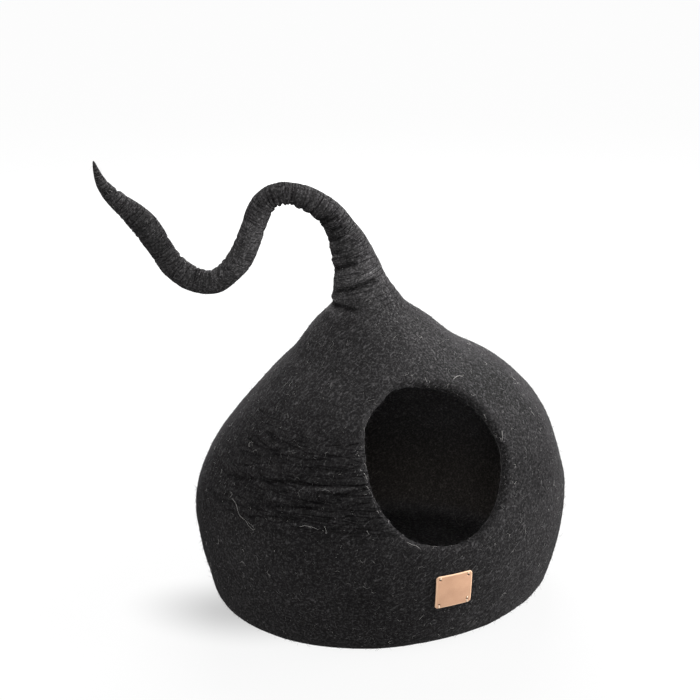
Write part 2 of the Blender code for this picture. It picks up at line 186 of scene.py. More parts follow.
# Painted light and shade: how much lighter the wool's colour is made, where the plain wall is 1.
# First painted light along the tail, where it is lit: distance, lightness.
TAIL_PAINTED_LIGHT = [(0, 1.0), (60, 1.75), (200, 1.55), (250, 2.15), (300, 2.45), (350, 2.35), (390, 1.8),
              (430, 1.3), (460, 1.35), (500, 1.7), (600, 1.9)]
UNDER_BEND = (110, 205)     # painted shade under the first bend, on its inside, from here to there
UNDER_BEND_FADE = 30
UNDER_BEND_REACH = 0.3
UNDER_BEND_PAINTED_SHADE = 0.35
# Then painted light and shade in patches on the wall, where it is lit more or less: a place, how far
# it reaches, and how light it is there.
Patch = namedtuple("Patch", "x y z reach paler")
LIGHT_AND_SHADE_PATCHES = [Patch(-93, -48, 306, 60, 1.3), Patch(7, -78, 327, 55, 1.25),
           Patch(-39, -14, 393, 40, 1.5), Patch(116, -163, 192, 45, 0.75),
           Patch(-169, -18, 239, 50, 0.93), Patch(-179, -80, 203, 50, 0.9),
           Patch(-139, -160, 150, 55, 0.84), Patch(-210, -79, 83, 50, 1.12),
           Patch(-60, -190, 92, 90, 0.86)]
# And painted light inside the room, which makes the wool there 4 to 9 times as light as the wall,
# so that the dim inside shows: height, lightness.
INSIDE_PAINTED_LIGHT = [(0, 6.8), (20, 6.2), (60, 4.6), (110, 4.2), (190, 7.4), (240, 8.8)]
BROWNER_FROM = (8, 20)      # it is browner there above this height, which begins over this,
BROWNER_TO = (60, 90)       # and up to this one, which ends over this
INSIDE_FROM = 0.45          # the skin is the room's where it faces the middle more than this,
INSIDE_FADE = 0.4           # which begins over this: 1 would be straight at the middle
PALEST = 8.0                # this lightness gives the finish its full colours
PRESSED_FULL = 2.5          # a fold this deep has its full painted shade,
RAISED_FULL = -0.6          # and a roll has its full painted light when it stands out by this share of that

# How many loose hairs there are, for each one on the wall.
LIP_HAIR = 5.0
INSIDE_HAIR = 0.25
BARE_UNDER = 2.0            # none on the base,
BARE_MARGIN = 2.0           # nor under the tag and this far round it


def ease(x):
    x = np.clip(x, 0, 1)
    return x * x * (3 - 2 * x)


def unit(v):
    return v / np.linalg.norm(v, axis=-1, keepdims=True)


def put(name, data):
    """A new object in the scene, at the origin, unturned and unscaled."""
    thing = bpy.data.objects.new(name, data)
    bpy.context.scene.collection.objects.link(thing)
    return thing


def to_mesh(work, name):
    mesh = bpy.data.meshes.new(name)
    work.to_mesh(mesh)
    work.free()
    return mesh


def shown_mesh(thing):
    """A plain mesh of what an object shows."""
    bpy.context.view_layer.update()
    depsgraph = bpy.context.evaluated_depsgraph_get()
    return bpy.data.meshes.new_from_object(thing.evaluated_get(depsgraph))


def finer_copy(name, node, levels):
    """A copy of a CAD node, its loose triangles joined into quads and those divided."""
    work = bmesh.new()
    work.from_mesh(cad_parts[node].data)
    bmesh.ops.remove_doubles(work, verts=work.verts, dist=WELD * MM)
    bmesh.ops.join_triangles(work, faces=work.faces, angle_face_threshold=math.radians(QUAD_BEND),
                             angle_shape_threshold=math.radians(QUAD_SKEW))
    piece = put(name, to_mesh(work, name))
    divide = piece.modifiers.new("finer", "SUBSURF")
    divide.levels = divide.render_levels = levels
    return piece


def settle(piece):
    """Makes what a piece's modifiers show its own plain mesh."""
    mesh = shown_mesh(piece)
    piece.modifiers.clear()
    piece.data = mesh
    mesh.shade_smooth()
    return mesh


def read_points(mesh):
    """A mesh's points in millimetres, and the way that each faces."""
    points = np.empty(len(mesh.vertices) * 3)
    facing = np.empty(len(mesh.vertices) * 3)
    mesh.vertices.foreach_get("co", points)
    mesh.vertex_normals.foreach_get("vector", facing)
    return points.reshape(-1, 3) / MM, facing.reshape(-1, 3)


def write_points(mesh, points):
    mesh.vertices.foreach_set("co", (points * MM).ravel())
    mesh.update()


def noise_at(points, size):
    """Smooth noise from -1 to 1, its lumps about this size."""
    return np.array([noise.noise(Vector(point)) for point in points / size])


def turn_at(points, middle=0.0):
    """Degrees round an upright line through a middle, from the front towards the right."""
    off = points - middle
    return np.degrees(np.arctan2(off[:, 0], -off[:, 1]))


def ripple_press(points, turn, ripples):
    """How far folds and drag lines press the felt in at each point."""
    wander = RIPPLE_WANDER * noise_at(points * RIPPLE_ALIKE, RIPPLE_WAVE)
    total = np.zeros(len(points))
    for ripple in ripples:
        share = (turn - ripple.turn_a) / (ripple.turn_b - ripple.turn_a)
        middle = ripple.height_a + share * (ripple.height_b - ripple.height_a) + wander
        ends = ease(share / RIPPLE_FADE) * ease((1 - share) / RIPPLE_FADE)
        total += ripple.depth * ends * np.exp(-((points[:, 2] - middle) / ripple.width) ** 2)
    return total


def between(values, ends, fade):
    """1 well between two ends, and 0 at them and past them."""
    return ease((values - ends[0]) / fade) * ease((ends[1] - values) / fade)


def dragged_share(points, turn):
    """1 where the wall is finely wrinkled, and 0 away from there."""
    return (between(turn, WRINKLE_TURNS, WRINKLE_TURN_FADE)
            * between(points[:, 2], WRINKLE_HEIGHTS, WRINKLE_HEIGHT_FADE))


def wrinkle_press(points, turn):
    """How far the fine wrinkles press the wall in: narrow where a stretched noise passes zero."""
    along = np.radians(turn) * np.hypot(points[:, 0], points[:, 1])
    across = points[:, 2] - WRINKLE_RISE * turn
    spots = np.stack([along / WRINKLE_SIZE[0], across / WRINKLE_SIZE[1], 0 * along], -1)
    lines = np.exp(-(noise_at(spots, 1) / WRINKLE_SHARP) ** 2)
    return WRINKLE_DEPTH * dragged_share(points, turn) * lines


def spine_line():
    """The spine's points a millimetre apart, the way it runs there, and how sharply it bends."""
    heading = math.radians(TAIL_HEADING)
    reach, sway, height = np.array(SPINE, float).T
    corners = np.stack([reach * math.cos(heading) - sway * math.sin(heading),
                        reach * math.sin(heading) + sway * math.cos(heading), height], -1)
    along = np.concatenate([[0], np.cumsum(np.linalg.norm(np.diff(corners, axis=0), axis=1))])
    steps = np.arange(0, along[-1], SPINE_STEP)
    line = np.stack([np.interp(steps, along, corners[:, axis]) for axis in range(3)], -1)
    smoothing = np.hanning(2 * SPINE_SMOOTHING + 1)
    smoothing /= smoothing.sum()
    padded = np.pad(line, ((SPINE_SMOOTHING, SPINE_SMOOTHING), (0, 0)), mode="reflect",
                    reflect_type="odd")
    line = np.stack([np.convolve(padded[:, axis], smoothing, "valid") for axis in range(3)], -1)
    runs = unit(np.gradient(line, axis=0))
    return line, runs, np.gradient(runs, SPINE_STEP, axis=0)


def nearest_on(line, points):
    """Which of a line's points is nearest to each point."""
    nearest = np.empty(len(points), int)
    for first in range(0, len(points), AT_ONCE):
        part = points[first:first + AT_ONCE]
        nearest[first:first + AT_ONCE] = ((part[:, None] - line) ** 2).sum(-1).argmin(1)
    return nearest


def crease_press(off, along, runs, bend):
    """How far the tail's cross creases press it in, most on the inside of its bends."""
    random = np.random.default_rng(CREASE_SEED)
    total = np.zeros(len(off))
    for middle in np.arange(CREASE_PITCH, len(runs) * SPINE_STEP - TIP_PLAIN, CREASE_PITCH):
        middle += random.uniform(-CREASE_STRAY, CREASE_STRAY)
        width = random.uniform(*CREASE_WIDTHS)
        place = int(middle / SPINE_STEP)
        sharp = np.linalg.norm(bend[place])
        inside = unit(bend[place] + NO_BEND)
        spin = random.uniform(-CREASE_SPIN, CREASE_SPIN)
        spin *= 1 - min(sharp / SHARP_BEND, CREASE_SPIN_LESS)
        side = inside * math.cos(spin) + np.cross(runs[place], inside) * math.sin(spin)
        shift = random.uniform(-CREASE_SLANT, CREASE_SLANT) * (off @ np.cross(runs[place], side))
        depth = CREASE_DEPTH * random.uniform(*CREASE_DEPTHS) + CREASE_IN_BEND * sharp
        reach = ease((off @ side + CREASE_ROUND) / CREASE_ROUND_FADE)
        away = (along - middle - shift) / width
        shape = np.exp(-away ** 2) - CREASE_SHOULDER * np.exp(-(away / CREASE_SHOULDER_WIDE) ** 2)
        total += min(depth, CREASE_DEEPEST) * reach * shape
    return total


def keep_values(mesh, name, values):
    """Gives each point of a mesh a value, or three, that nodes can read by name."""
    kind, key = ("FLOAT", "value") if values.ndim == 1 else ("FLOAT_VECTOR", "vector")
    kept = mesh.attributes.new(name, kind, "POINT")
    kept.data.foreach_set(key, values.astype(np.float32).ravel())


cave = finer_copy("felt_cave", "felt_shell", FINER)
cave_mesh = settle(cave)
skin, facing = read_points(cave_mesh)
tail = skin[:, 2] > NECK_HEIGHT
outer = tail | (((skin - CAVE_MIDDLE) * facing).sum(1) > 0)
wall = outer & ~tail
press = np.full(len(skin), -FLUFF)
dragged = np.zeros(len(skin))
wrinkle_place = skin / (WRINKLE_STRETCH, WRINKLE_STRETCH, 1)

# the wall's folds and wrinkles
turn = turn_at(skin[wall])
press[wall] += ripple_press(skin[wall], turn, WALL_RIPPLES) + wrinkle_press(skin[wall], turn)
dragged[wall] = dragged_share(skin[wall], turn)

# the neck's and the tail's
line, runs, bend = spine_line()
nearest = nearest_on(line, skin[tail])
off = skin[tail] - line[nearest]
along = nearest * SPINE_STEP + (off * runs[nearest]).sum(1)
wrinkle_place[tail] = np.stack(
    [off[:, 0] / WRINKLE_STRETCH, off[:, 1] / WRINKLE_STRETCH, along * TAIL_FINER], -1)
off = unit(off)
inner = (off * unit(bend[nearest] + NO_BEND)).sum(1)
press[tail] += crease_press(off, along, runs, bend)
neck_turn = turn_at(skin[tail], line[nearest])
press[tail] += ripple_press(skin[tail], neck_turn, NECK_RIPPLES) * (along < NECK_LENGTH)
press[tail] -= ARCH_SWELL * (between(along, ARCH, ARCH_FADE)
                             * ease(off @ unit(np.array(ARCH_SIDE)) + ARCH_REACH))
for crease in CREASES:
    press[tail] += (crease.depth * np.exp(-((along - crease.along) / crease.width) ** 2)
                    * ease(inner + CREASES_REACH))
inside_bend = ease((off * bend[nearest]).sum(1) / SHARP_BEND)
dragged[tail] = TAIL_WRINKLED + TAIL_IN_BENDS * inside_bend
dragged[tail] *= ease((skin[tail, 2] - NECK_HEIGHT) / TAIL_WRINKLE_FADE)
keep_values(cave_mesh, "pressed", np.clip((press + FLUFF) / PRESSED_FULL, RAISED_FULL, 1))
keep_values(cave_mesh, "dragged", dragged)
keep_values(cave_mesh, "wrinkle_place", wrinkle_place * MM)

# the painted light and shade: how light the wool's colour is made
inward = -(unit(skin - CAVE_MIDDLE) * facing).sum(1)
inside = np.where(tail, 0, ease((inward - INSIDE_FROM) / INSIDE_FADE))
paler = 1 + inside * (np.interp(skin[:, 2], *np.transpose(INSIDE_PAINTED_LIGHT)) - 1)
paler[tail] = np.interp(along, *np.transpose(TAIL_PAINTED_LIGHT))
# painted shade on the inside of the tail's first bend, which is its underside
shaded_under_bend = between(along, UNDER_BEND, UNDER_BEND_FADE)
paler[tail] *= 1 - UNDER_BEND_PAINTED_SHADE * shaded_under_bend * ease(inner + UNDER_BEND_REACH)
for patch in LIGHT_AND_SHADE_PATCHES:
    away = np.linalg.norm(skin - patch[:3], axis=1) / patch.reach
    paler += (patch.paler - 1) * outer * np.exp(-away ** 2)
keep_values(cave_mesh, "paler", paler / PALEST)
keep_values(cave_mesh, "inside", inside)
begun, ended = (ease((skin[:, 2] - height) / fade) for height, fade in (BROWNER_FROM, BROWNER_TO))
keep_values(cave_mesh, "browner", inside * begun * (1 - ended))

# the doorway's edge, the lumps, and where hairs grow
lip = ~tail & (np.abs(inward) < LIP_TURN) & (skin[:, 1] < LIP_FRONT)
lip &= np.abs(skin[:, 2] - LIP_HEIGHT) < LIP_REACH
press[lip] -= LIP_ROUGH * noise_at(skin[lip], LIP_WAVE)
for lump in LUMPS:
    press += lump.rise * noise_at(skin, lump.size) * ease(skin[:, 2] / FLAT_UNDER)
skin -= press[:, None] * facing
skin[:, 2] = np.maximum(skin[:, 2], 0)
write_points(cave_mesh, skin)
tag_low, tag_high = (np.array(corner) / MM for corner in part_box("leather_tag"))
bare = ((skin > tag_low - BARE_MARGIN) & (skin < tag_high + BARE_MARGIN)).all(1)
bare |= skin[:, 2] < BARE_UNDER
hairy = np.where(lip, LIP_HAIR, np.where(outer, 1, INSIDE_HAIR))
keep_values(cave_mesh, "hairy", np.where(bare, 0, hairy))


class Flow:
    """What comes out of a node: Python's signs on it add Math nodes, and node() adds any other."""

    def __init__(self, tree, socket=None):
        self.tree, self.socket = tree, socket

    def node(self, kind, settings=None, inputs=None, output=0):
        """Adds a node: its settings first, then its sockets, set or linked."""
        added = self.tree.nodes.new(kind)
        for name, value in (settings or {}).items():
            setattr(added, name, value)
        for key, value in (inputs or {}).items():
            if isinstance(value, Flow):
                self.tree.links.new(value.socket, added.inputs[key])
            else:
                added.inputs[key].default_value = value
        return Flow(self.tree, added.outputs[output])

    def out(self, name):
        """Another output of the same node."""
        return Flow(self.tree, self.socket.node.outputs[name])

    def maths(self, operation, *values):
        return self.node("ShaderNodeMath", {"operation": operation}, dict(enumerate(values)))

    def __add__(self, other):
        return self.maths("ADD", self, other)

    def __sub__(self, other):
        return self.maths("SUBTRACT", self, other)

    def __rsub__(self, other):
        return self.maths("SUBTRACT", other, self)

    def __mul__(self, other):
        return self.maths("MULTIPLY", self, other)

    def __abs__(self):
        return self.maths("ABSOLUTE", self)

    __radd__, __rmul__ = __add__, __mul__

    def span(self, low, high):
        """Smoothly from 0 to 1 as this value goes from low to high."""
        return self.node("ShaderNodeMapRange", {"interpolation_type": "SMOOTHSTEP"},
                         {"Value": self, "From Min": low, "From Max": high})

    def mix(self, low, high):
        """A colour between two, by this value."""
        return self.node("ShaderNodeMix", {"data_type": "RGBA"}, {0: self, 6: low, 7: high},
                         output=2)

    def length(self):
        return self.node("ShaderNodeVectorMath", {"operation": "LENGTH"}, {0: self}, output="Value")

    def bump(self, strength, distance):
        """This height as a bump that stands out at most this many millimetres."""
        return self.node("ShaderNodeBump", {}, {
            "Strength": strength, "Distance": distance * MM, "Height": self})

    def kept(self, name, output="Fac"):
        """A value that the mesh carries under this name."""
        return self.node("ShaderNodeAttribute", {"attribute_name": name}, output=output)


def start_finish(name, **constants):
    """A new material, its coordinates as a flow, and its shader with the constants set on it."""
    material = bpy.data.materials.new(name)
    material.use_nodes = True
    shader = material.node_tree.nodes["Principled BSDF"]
    for key, value in constants.items():
        shader.inputs[key.replace("_", " ")].default_value = value
    place = Flow(material.node_tree).node("ShaderNodeTexCoord", output="Object")
    return material, place, shader


def connect(shader, **flows):
    for key, flow in flows.items():
        flow.tree.links.new(flow.socket, shader.inputs[key.replace("_", " ")])


def cloud(place, size, detail=2.0, roughness=0.5, warp=0.0):
    """Noise whose lumps are about this size in millimetres."""
    return place.node("ShaderNodeTexNoise", {}, {
        "Vector": place, "Scale": 1 / (size * MM), "Detail": detail, "Roughness": roughness,
        "Distortion": warp})


# The felt's surface is a mat of crossing fibres: long thin flecks of stretched noise, laid several
# ways, with a finer grain and large faint patches.
Way = namedtuple("Way", "turn place")
FIBRE_WAYS = [Way((0.3, 0.2, 1.5), (0, 0, 0)), Way((1.2, 0.4, 0.3), (310, 170, 230)),
              Way((0.8, 1.9, 2.5), (620, 340, 460)), Way((2.2, 0.7, 0.9), (930, 510, 690))]
FIBRE_STRETCH = (1, 4, 1.5)
FIBRE_WARP = 0.5
FIBRE_SHOWS = (0.55, 0.68)  # where the noise is over the first there is a fibre, full at the second
Layer = namedtuple("Layer", "size tone height")     # its shares of the felt's tone and height
COARSE = Layer(2.5, 0.43, 0.5)
FINE = Layer(1.6, 0.37, 0.3)
GRAIN = Layer(2.5, 0.39, 0.5)
FAINT = Layer(50, 0.05, 0)
GRAIN_SHOWS = (0.4, 0.75)
CLOUD_SHOWS = (0.3, 0.7)    # most of a noise's values lie between these
FELT_BUMP = (0.9, 1.0)      # how strong it is, and how high
FELT_BLACK = (0.0008, 0.0008, 0.0008, 1)
FELT_PALE = (0.338, 0.327, 0.333, 1)
FELT_BROWN = (0.355, 0.32, 0.295, 1)
INSIDE_TONE = 0.45          # inside the room the tone is nearer to this,
INSIDE_EVEN = 0.3           # by this share
# painted shade in the folds and painted light on the rolls, by how far they are pressed in or out
FOLD_PAINTED_SHADE = 0.7
# painted shade along the fine wrinkle lines
WRINKLE_PAINTED_SHADE = 0.42
WRINKLED_LOWER = 1.3
WRINKLE_NOISE = 6.0         # the finest wrinkles lie where noise of this size passes its middle,
WRINKLE_THIN = 0.05         # and are this thin


def laid_on(place, at, turn, scale):
    """Coordinates whose origin is at a place in millimetres, turned and scaled there."""
    return place.node("ShaderNodeMapping", {"vector_type": "TEXTURE"}, {
        "Vector": place, "Location": Vector(at) * MM, "Rotation": turn, "Scale": scale})


def fibre_mat(place, size):
    """0 between fibres and up to 1 on them."""
    mat = [cloud(laid_on(place, way.place, way.turn, FIBRE_STRETCH), size, 1.0, warp=FIBRE_WARP)
           .span(*FIBRE_SHOWS) for way in FIBRE_WAYS]
    return mat[0].maths("MAXIMUM", mat[1]).maths("MAXIMUM", mat[2].maths("MAXIMUM", mat[3]))


def felt_finish():
    material, place, shader = start_finish(
        "black wet felt", Roughness=1.0, Specular_IOR_Level=0.0, Sheen_Weight=0.025,
        Sheen_Roughness=0.3, Sheen_Tint=(0.85, 0.83, 0.86, 1))
    patches = cloud(place, FAINT.size, 3.0)
    grain = cloud(place, GRAIN.size, 2.0, 0.7)
    coarse = fibre_mat(place, COARSE.size)
    fine = fibre_mat(place, FINE.size)
    pressed, paler, dragged, inside, browner = (
        place.kept(name) for name in ("pressed", "paler", "dragged", "inside", "browner"))
    level = cloud(place.kept("wrinkle_place", "Vector"), WRINKLE_NOISE, 1.0)
    wrinkled = (1 - abs(level - 0.5).span(0.0, WRINKLE_THIN)) * dragged
    tone = coarse * COARSE.tone + fine * FINE.tone + grain.span(*GRAIN_SHOWS) * GRAIN.tone
    tone = tone + patches.span(*CLOUD_SHOWS) * FAINT.tone
    tone = tone + (INSIDE_TONE - tone) * inside * INSIDE_EVEN
    # painted shade in folds and wrinkle lines, painted light on rolls, and the painted light and
    # shade kept on the mesh
    tone = tone * tone * (1 - pressed * FOLD_PAINTED_SHADE) * (1 - wrinkled * WRINKLE_PAINTED_SHADE) * paler
    height = coarse * COARSE.height + fine * FINE.height + grain * GRAIN.height
    height = height - wrinkled * WRINKLED_LOWER
    connect(shader, Base_Color=tone.mix(FELT_BLACK, browner.mix(FELT_PALE, FELT_BROWN)),
            Normal=height.bump(*FELT_BUMP))
    return material


cave_mesh.materials.clear()
cave_mesh.materials.append(felt_finish())
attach(cave, "root")
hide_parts("felt_shell")

# ================================================================ loose wool
# Wool that the rubbing didn't bind: a dark fuzz of fine fibres all over the felt, and pale coarse
# guard hairs that lie scattered on it, curled. Both are laid on the felt by nodes.
HAIR_INPUTS = {
    "Geometry": "NodeSocketGeometry", "Hairs per square metre": "NodeSocketFloat",
    "Shortest": "NodeSocketFloat", "Longest": "NodeSocketFloat", "Thickness": "NodeSocketFloat",
    "Curl": "NodeSocketFloat", "Stand": "NodeSocketFloat", "Points": "NodeSocketInt",
    "Seed": "NodeSocketInt", "Finish": "NodeSocketMaterial",
}
HAIR_WAVES = 9              # radians of wave along each hair
HAIR_APART = 20             # radians that its bend shifts the wave, so that no two are alike
HAIR_WAVE_REACH = 0.22      # how far the wave goes aside, where the bow goes 1
HAIR_LIFT = 0.3             # a hair's middle is this share of its thickness off the felt
HAIR_THICKEST = 0.45        # it is thickest this far along it,
HAIR_TAPER = 1.4            # and tapers this fast to both ends


def hair_tree():
    """Hairs on a mesh: lines laid on its faces, curled, snapped to it and given a thickness."""
    tree = bpy.data.node_groups.new("loose wool", "GeometryNodeTree")
    for name, kind in HAIR_INPUTS.items():
        tree.interface.new_socket(name, in_out="INPUT", socket_type=kind)
    tree.interface.new_socket("Geometry", in_out="OUTPUT", socket_type="NodeSocketGeometry")
    given = Flow(tree).node("NodeGroupInput")
    felt, seed, thickness = given.out("Geometry"), given.out("Seed"), given.out("Thickness")

    def chance(low, high, step):
        return given.node("FunctionNodeRandomValue", {"data_type": "FLOAT"},
                          {2: low, 3: high, "Seed": seed + step}, output=1)

    def vector(operation, *values):
        return given.node("ShaderNodeVectorMath", {"operation": operation}, dict(enumerate(values)))

    def scaled(direction, size):
        return given.node("ShaderNodeVectorMath", {"operation": "SCALE"},
                          {0: direction, "Scale": size})

    def keep(points, name, value, kind):
        return given.node("GeometryNodeStoreNamedAttribute", {"data_type": kind, "domain": "POINT"},
                          {"Geometry": points, "Name": name, "Value": value})

    def kept(name, kind):
        return given.node("GeometryNodeInputNamedAttribute", {"data_type": kind}, {"Name": name})

    # where the hairs lie, and how long, bent and loose each is
    density = given.out("Hairs per square metre") * kept("hairy", "FLOAT")
    roots = given.node("GeometryNodeDistributePointsOnFaces", {},
                       {"Mesh": felt, "Density": density, "Seed": seed})
    spin = given.node("FunctionNodeAxisAngleToRotation", {},
                      {"Axis": (0, 0, 1), "Angle": chance(0.0, 2 * math.pi, 1)})
    turned = given.node("FunctionNodeRotateRotation", {"rotation_space": "LOCAL"},
                        {0: roots.out("Rotation"), 1: spin})
    along = given.node("FunctionNodeRotateVector", {}, {0: (1, 0, 0), 1: turned})
    long = chance(0.0, 1.0, 2)
    shortest, longest = given.out("Shortest"), given.out("Longest")
    length = shortest + (longest - shortest) * long * long * long
    points = keep(roots, "up", roots.out("Normal"), "FLOAT_VECTOR")
    points = keep(points, "along", along, "FLOAT_VECTOR")
    points = keep(points, "length", length, "FLOAT")
    points = keep(points, "bend", chance(-1.0, 1.0, 3), "FLOAT")
    points = keep(points, "loose", chance(0.0, 1.0, 4), "FLOAT")
    points = keep(points, "tone", chance(0.0, 1.0, 5), "FLOAT")
    line = given.node("GeometryNodeCurvePrimitiveLine", {},
                      {"Start": (-0.5, 0, 0), "End": (0.5, 0, 0)})
    line = given.node("GeometryNodeResampleCurve", {},
                      {"Curve": line, "Count": given.out("Points")})
    hairs = given.node("GeometryNodeInstanceOnPoints", {},
                       {"Points": points, "Instance": line, "Rotation": turned, "Scale": length})
    hairs = given.node("GeometryNodeRealizeInstances", {}, {"Geometry": hairs})
    # each is bowed and waved to the side, snapped to the felt, and one end of it lifted
    share = given.node("GeometryNodeSplineParameter", output="Factor")
    bend, up = kept("bend", "FLOAT"), kept("up", "FLOAT_VECTOR")
    side = vector("CROSS_PRODUCT", up, kept("along", "FLOAT_VECTOR"))
    bow = (share - 0.5) * (share - 0.5) * 4 * bend
    wave = (share * HAIR_WAVES + bend * HAIR_APART).maths("SINE") * HAIR_WAVE_REACH
    aside = (bow + wave) * given.out("Curl") * kept("length", "FLOAT")
    place = vector("ADD", given.node("GeometryNodeInputPosition"), scaled(side, aside))
    place = given.node("GeometryNodeProximity", {"target_element": "FACES"},
                       {"Geometry": felt, "Sample Position": place})
    loose = kept("loose", "FLOAT")
    loft = share * share * loose * loose * given.out("Stand") * kept("length", "FLOAT")
    place = vector("ADD", place, scaled(up, loft + thickness * HAIR_LIFT))
    above_floor = given.node("ShaderNodeCombineXYZ", {}, {"X": -1.0, "Y": -1.0, "Z": thickness})
    place = vector("MAXIMUM", place, above_floor)
    hairs = given.node("GeometryNodeSetPosition", {}, {"Geometry": hairs, "Position": place})
    ring = given.node("GeometryNodeCurvePrimitiveCircle", {},
                      {"Resolution": 3, "Radius": thickness * 0.5})
    taper = 1 - abs(share - HAIR_THICKEST) * HAIR_TAPER
    hairs = given.node("GeometryNodeCurveToMesh", {}, {
        "Curve": hairs, "Profile Curve": ring, "Scale": taper, "Fill Caps": True})
    hairs = given.node("GeometryNodeRealizeInstances", {}, {"Geometry": hairs})
    hairs = given.node("GeometryNodeSetMaterial", {},
                       {"Geometry": hairs, "Material": given.out("Finish")})
    tree.links.new(hairs.socket, tree.nodes.new("NodeGroupOutput").inputs["Geometry"])
    return tree


def grow(name, finish, **sizes):
    """Grows hairs on the cave, as a plain mesh piece that rides with it."""
    piece = put(name, cave_mesh.copy())
    laying = piece.modifiers.new("laying", "NODES")
    laying.node_group = laying_tree
    sizes["Finish"] = finish
    for socket in laying_tree.interface.items_tree:
        key = socket.name.replace(" ", "_")
        if socket.in_out == "INPUT" and key in sizes:
            laying[socket.identifier] = sizes[key]
    mesh = settle(piece)
    mesh.materials.clear()
    mesh.materials.append(finish)
    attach(piece, "root")


def wool_finish(name, dark, light):
    """Each hair has its own tone between two colours, and few are light."""
    material, place, shader = start_finish(name, Roughness=1.0, Specular_IOR_Level=0.0)
    tone = place.kept("tone")
    connect(shader, Base_Color=(tone * tone).mix(dark, light))
    return material


laying_tree = hair_tree()
black_wool = wool_finish("black wool", (0.003, 0.003, 0.003, 1), (0.085, 0.081, 0.085, 1))
grow("wool_fuzz", black_wool, Hairs_per_square_metre=22000.0, Shortest=3.0 * MM, Longest=9 * MM,
     Thickness=0.22 * MM, Curl=0.6, Stand=0.9, Points=3, Seed=3)
pale_wool = wool_finish("pale guard hair", (0.035, 0.034, 0.033, 1), (0.45, 0.435, 0.42, 1))
grow("pale_hairs", pale_wool, Hairs_per_square_metre=7000.0, Shortest=1.2 * MM, Longest=9 * MM,
     Thickness=0.17 * MM, Curl=0.5, Stand=0.2, Points=5, Seed=8)

# ================================================================ stray hairs
# A few long pale guard hairs that came loose in use and lie on the felt, curled: the longest low on
# the left, some by the doorway's edge and one on the floor inside. Each is a thin round thread.
STRAYS = [                  # the places that each goes through, snapped to the felt
    [(-210, -54, 168), (-209, -62, 166), (-208, -67, 161), (-208, -72, 155), (-206, -78, 153),
     (-203, -84, 152), (-203, -87, 149), (-202, -93, 147), (-200, -97, 145), (-199, -98, 147),
     (-201, -92, 150), (-203, -86, 152)],
    [(-160, -139, 161), (-156, -141, 163), (-152, -145, 163), (-147, -149, 162), (-144, -153, 161)],
    [(-137, -159, 157), (-136, -159, 162), (-138, -156, 165)],
    [(-97, -180, 163), (-96, -181, 160), (-95, -182, 159)],
    [(-182, -36, 221), (-181, -32, 223), (-179, -33, 225), (-178, -37, 225)],
    [(6, -106, 302), (7, -107, 299), (8, -109, 295), (9, -107, 291)],
    [(11, -109, 299), (10, -109, 294), (12, -107, 291)],
    [(157, 101, 9), (152, 90, 9), (150, 80, 9), (152, 74, 9), (157, 72, 9)],
    [(68, -136, 260), (70, -138, 257), (70, -139, 252)],
    [(84, -151, 242), (83, -154, 237), (82, -156, 232)],
    [(41, -109, 296), (46, -105, 297), (52, -103, 297), (55, -104, 295), (58, -101, 297)],
    [(-56, -197, 149), (-51, -199, 145), (-45, -199, 143), (-42, -202, 140)],
    [(-91, -141, 237), (-89, -145, 232), (-86, -147, 228), (-84, -148, 222)],
    [(-93, -151, 223), (-88, -153, 220), (-88, -158, 214)],
    [(-90, -162, 208), (-86, -163, 204), (-88, -167, 200)],
]
STRAY_THICKNESS = 0.26
STRAY_LIFT = 0.5            # off the felt
STRAY_TAPER = 0.6           # share of its thickness that it loses to its end


def lay_strays():
    felt = BVHTree.FromObject(cave, bpy.context.evaluated_depsgraph_get())
    threads = bpy.data.curves.new("strays", "CURVE")
    threads.dimensions = "3D"
    threads.bevel_depth = STRAY_THICKNESS / 2 * MM
    threads.bevel_resolution = 1
    threads.use_fill_caps = True
    for places in STRAYS:
        hair = threads.splines.new("NURBS")
        hair.points.add(len(places) - 1)
        hair.order_u = 3
        hair.use_endpoint_u = True
        hair.resolution_u = 5
        for k, (point, place) in enumerate(zip(hair.points, places)):
            spot, facing, _, _ = felt.find_nearest(Vector(place) * MM)
            point.co = (*(spot + facing * STRAY_LIFT * MM), 1)
            point.radius = 1 - STRAY_TAPER * k / len(places)
    drawn = put("stray_hairs", threads)
    mesh = shown_mesh(drawn)
    bpy.data.objects.remove(drawn)
    mesh.shade_smooth()
    return put("stray_hairs", mesh)


strays = lay_strays()
stray_wool, _, _ = start_finish("stray guard hair", Base_Color=(0.32, 0.31, 0.3, 1), Roughness=0.9,
                                Specular_IOR_Level=0.1)
strays.data.materials.append(stray_wool)
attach(strays, "root")

# ================================================================ the leather tag
# A small plate of natural tan leather with rounded corners, its cut edges rubbed smooth, and a
# punched hole in each corner. It is bent to the wall, as the CAD tag is, and its face is bare.
TAG_WIDTH = 44.5
TAG_HEIGHT = 42.5
TAG_THICKNESS = 1.8
TAG_CORNER = 3.8
TAG_EDGE = 0.8              # rounding of its edges
TAG_RIM = 1.1               # it is lighter this near its edges: lighter cut edges, with a painted highlight on their rounding
TAG_HOLE = 2.3
TAG_HOLE_INSET = 4.8
TAG_TILT = 1.5              # degrees, anticlockwise
TAG_STEP = 1.5              # it is divided this finely to bend
TAG_CORNER_STEPS = 6
TAG_HOLE_STEPS = 16
TAG_WELD = 0.001
TAG_UNEVEN = 0.12           # how far its face rises and falls,
TAG_UNEVEN_SIZE = 14        # over this length
TAG_CURL = 0.25             # how far its left and right edges stand off the felt
LEATHER_DARK = (0.31, 0.171, 0.1, 1)
LEATHER_LIGHT = (0.375, 0.215, 0.129, 1)
LEATHER_EDGE_AND_HIGHLIGHT = (0.51, 0.325, 0.21, 1)
LEATHER_GRAIN = Layer(0.9, 0, 0.6)
LEATHER_PORES = Layer(1.2, 0.3, 0.5)
LEATHER_PATCHES = Layer(14, 0.7, 0)
LEATHER_ROUGH = 0.5
LEATHER_ROUGHER = 0.12      # where it is light
